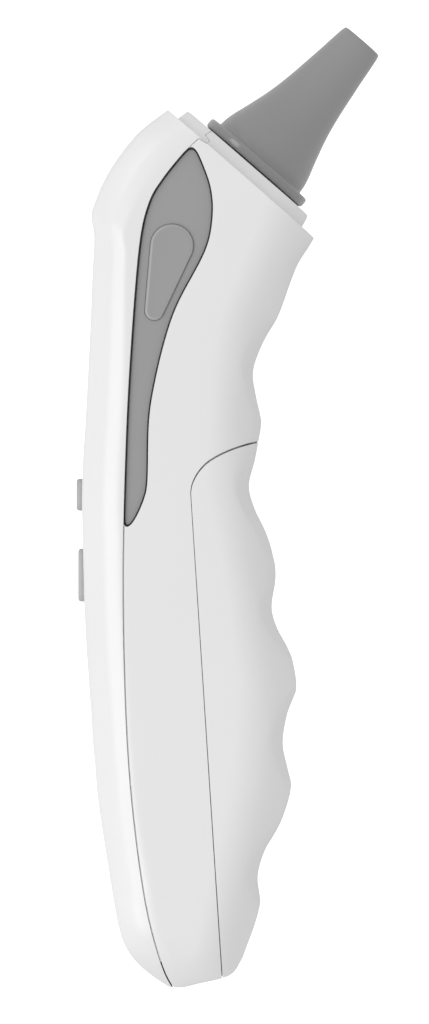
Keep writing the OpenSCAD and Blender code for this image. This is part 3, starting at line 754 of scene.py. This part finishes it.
# Side panels and scan buttons
for side, place in (("right", flat), ("left", flipped)):
    top, foot = PANEL_TOP, PANEL_TOP - 2.2
    panel = add(prism(panel_outline(0.12, -0.08), [(foot, 0), (top - 0.12, 0), (top, 0.12)], place),
                prism(panel_outline(-0.6, 0.6), rim(foot, top - 1.3, 0.1, 0.1), place))
    mouth = prism(teardrop(0.015), [(0, 0), (top - 0.08, 0), (top, -0.06), (top + 1, -0.06)], place)
    finish_mesh(cut(panel, mouth), "panel_" + side, "grey_plastic", "casing",
                ["side_panel_" + side])
    cap = prism(teardrop(0), rim(15.0, 18.9, 0, 0.5, 8) + [(18.87, 1.1)], place)
    lip = prism(teardrop(0.8), rim(15.0, 16.0, 0.2, 0.2), place)
    stem = prism(circle(1.2, 32), [(14.3, 0), (15.2, 0)], at(place, -12.8, 40.5))
    button = add(cap, lip, stem)
    # The rounded rim of the button's top gets a lighter grey, a painted highlight
    on_rim = [int(0.2 < abs(p.normal.z) < 0.99 and abs(p.center.z) > top - 0.1)
              for p in button.data.polygons]
    finish_mesh(button, "button_" + side, "grey_plastic", side + "_scan_button",
                ["scan_button_" + side], painted_faces=on_rim, others=["painted_rim_highlight"])

# Display lens and keys
finish_mesh(plate(0, 1, 33, 26, 3, 0.3), "lens_plate", "lens", "casing", ["display_lens"],
            lens_window())
for name, node, body, x, y, n, low in KEYS:
    place = on_key(x, y)
    cap = prism(rounded_box(13, n, 1.8, 12),
                [(0.06, 1.5), (0.03, 1.1), (0, 0.8)] + rim(0, low, 0.5, 0, 7)[1:], place)
    lip = prism(rounded_box(14.6, n + 1.6, 2, 12), rim(2.9, 3.8, 0.15, 0.15), place)
    stem = prism(circle(1.5, 32), [(3.7, 0), (5.0, 0)], place)
    finish_mesh(add(cap, lip, stem), name, "key_plastic", body, [node])

# Probe: heights up its axis from the ledge
FLANGE_LOW, CONE_LOW, CONE_LEN = 2.5, 4.25, 26.9
CONE_TOP = CONE_LOW + CONE_LEN
BORE_R = 3.1
# Height above the flange, radius
SKIRT = [(0, 9.0), (1.05, 8.92), (1.75, 8.81), (3.05, 8.49), (4.45, 8.04), (5.85, 7.59), (7.25, 7.18),
         (8.55, 6.79), (9.95, 6.43), (11.35, 6.11), (12.75, 5.83), (15.45, 5.38), (18.25, 4.99),
         (20.95, 4.62), (23.75, 4.28), (25.75, 4.02), (26.35, 3.88)]


def arc(r, z, size, start, end, steps=6):
    """Profile points round (r, z), from one angle to another in degrees."""
    return [(r + size * math.cos(q), z + size * math.sin(q))
            for q in np.radians(np.linspace(start, end, steps))]


side_line = [(r, CONE_LOW + h) for h, r in curve(SKIRT, 3)]
outer = ([(6.6, FLANGE_LOW - 8), (7.9, FLANGE_LOW - 8), (7.9, FLANGE_LOW)]
         + arc(10.25, FLANGE_LOW + 0.5, 0.5, -90, 0) + arc(10.25, CONE_LOW - 0.5, 0.5, 0, 90)
         + [(9.3, CONE_LOW), (9.08, CONE_LOW + 0.06)] + side_line[1:]
         + arc(3.38, CONE_TOP - 0.5, 0.5, 10, 90)
         + [(3.25, CONE_TOP - 0.05), (BORE_R, CONE_TOP - 0.2)])
inner = [(BORE_R, CONE_LOW + 11), (3.9, CONE_LOW + 11), (4.4, CONE_LOW + 10), (6.6, CONE_LOW + 3)]
finish_mesh(revolve(outer + inner, on_probe, 128), "probe_skirt", "probe_plastic", "casing",
            ["probe_cone"], sharp=40)
finish_mesh(revolve([(8.2, 2.2), (10.2, 2.2)] + arc(10.2, 2.35, 0.15, -60, 60, 4)
                    + [(10.2, 2.5), (8.2, 2.5)], on_probe, 96), "probe_seal", "dark_rubber", "casing",
            ["probe_gasket"])
finish_mesh(revolve([(0.0, CONE_TOP - 1), (2.9, CONE_TOP - 1), (BORE_R, CONE_TOP - 0.9),
                     (BORE_R, CONE_TOP - 0.6), (2.8, CONE_TOP - 0.5), (1.5, CONE_TOP - 0.42),
                     (0.0, CONE_TOP - 0.4)], on_probe, 64), "probe_window", "sensor_window",
            "casing", ["sensor_window"])


# Cells and springs
def along_cell(z, flip):
    """A cell's own frame, from its flat end along its length."""
    end = BAY_HIGH - 4.5 if flip else BAY_LOW + 4.5
    sign = -1 if flip else 1
    return lambda a, b, c: on_door(a + z, end + sign * c, b + CELL_X)


for side, z, flip in (("right", CELL_Z, False), ("left", -CELL_Z, True)):
    body = ([(0.0, 0.0), (3.2, 0.0), (3.4, 0.25), (4.6, 0.3)] + arc(4.75, 0.5, 0.5, -80, 0)
            + [(5.25, 22), (5.25, 43)] + arc(4.75, 43.0, 0.5, 0, 80)
            + [(4.0, 43.45), (3.9, 43.35), (2.4, 43.4), (1.95, 43.5)]
            + arc(1.6, 44.2, 0.3, 0, 90) + [(0.0, 44.5)])
    finish_mesh(revolve(body, along_cell(z, flip), 64), "cell_" + side, "cell_sleeve", "casing",
                ["battery_" + side], banded_sleeve())


def spring(z, flip):
    """A conical coil on the cell's flat end, whose own ends lie flat."""
    origin = BAY_HIGH - 0.5 if flip else BAY_LOW + 0.5
    sign = -1 if flip else 1
    wire, turns, length, rings = 0.3, 3, 4.0, []
    for t in np.linspace(0, 1, 72 * turns + 1):
        r = 3 - t
        q = 2 * math.pi * turns * t
        rise = wire + np.clip((t - 0.08) / 0.84, 0, 1) * (length - 2 * wire)
        rings.append([on_door((r + wire * math.cos(c)) * math.cos(q) + z,
                              origin + sign * (rise + wire * math.sin(c)),
                              (r + wire * math.cos(c)) * math.sin(q) + CELL_X)
                      for c in np.linspace(0, 2 * math.pi, 12, endpoint=False)])
    return make(*wrap(rings))


finish_mesh(add(spring(CELL_Z, False), spring(-CELL_Z, True)), "springs", "plated_steel", "casing",
            ["contact_springs"], sharp=60)

# CAD nodes that keep their own shape
slots = {s["node"]: s["material_slot"] for s in frame["record"]["subparts"]}
for name, o in frame["nodes"].items():
    if name not in replaced:
        for socket in o.material_slots:
            socket.material = LOOKS[slots[name]]


# Floor, light and camera
def floor():
    """Paper that glows evenly white to the camera, and a quarter as much to everything else."""
    mesh = bpy.data.meshes.new("floor")
    mesh.from_pydata([(-3, -3, 0), (3, -3, 0), (3, 3, 0), (-3, 3, 0)], [], [(0, 1, 2, 3)])
    o = bpy.data.objects.new("floor", mesh)
    bpy.context.scene.collection.objects.link(o)
    m, t, shader = nodes_of("floor_paper")
    shader.inputs["Base Color"].default_value = (0.5, 0.5, 0.5, 1)
    shader.inputs["Roughness"].default_value = 1.0
    shader.inputs["Specular IOR Level"].default_value = 0.0
    shader.inputs["Emission Color"].default_value = (1, 1, 1, 1)
    seen = t.nodes.new("ShaderNodeLightPath")
    glow = t.nodes.new("ShaderNodeMapRange")
    glow.inputs["To Min"].default_value, glow.inputs["To Max"].default_value = 0.25, 1.0
    t.links.new(seen.outputs["Is Camera Ray"], glow.inputs["Value"])
    t.links.new(glow.outputs["Result"], shader.inputs["Emission Strength"])
    mesh.materials.append(m)


def area(name, place, target, size, power):
    light = bpy.data.lights.new(name, "AREA")
    light.shape, light.size, light.energy = "SQUARE", size, power
    o = bpy.data.objects.new(name, light)
    o.location = place
    o.rotation_mode = "QUATERNION"
    o.rotation_quaternion = (Vector(target) - Vector(place)).to_track_quat("-Z", "Y")
    bpy.context.scene.collection.objects.link(o)
    return o


floor()
area("softbox", (-0.5, -0.3, 0.45), (0, 0, 0.02), 0.3, 1.15)
area("key_box", (-0.57, 0.49, 0.5), (0, 0.06, 0.02), 0.33, 0.95)
crest = area("crest_box", (-0.46, 0.0, 0.64), (0, 0, 0.02), 0.3, 1.1)
crest.visible_diffuse = False  # only a highlight along the casing's front edge
world = bpy.data.worlds.new("studio")
bpy.context.scene.world = world
world.use_nodes = True
background = world.node_tree.nodes["Background"]
background.inputs["Color"].default_value = (1, 1, 1, 1)
background.inputs["Strength"].default_value = 0.735

camera = bpy.data.cameras.new("camera")
camera.lens, camera.sensor_width = 600, 36
camera.clip_start, camera.clip_end = 0.1, 20
eye = bpy.data.objects.new("camera", camera)
eye.location = (-2.23 * MM, -0.77 * MM, 2.933 + HALF_W * MM)
bpy.context.scene.collection.objects.link(eye)
bpy.context.scene.camera = eye
bpy.context.scene.view_settings.view_transform = "Standard"
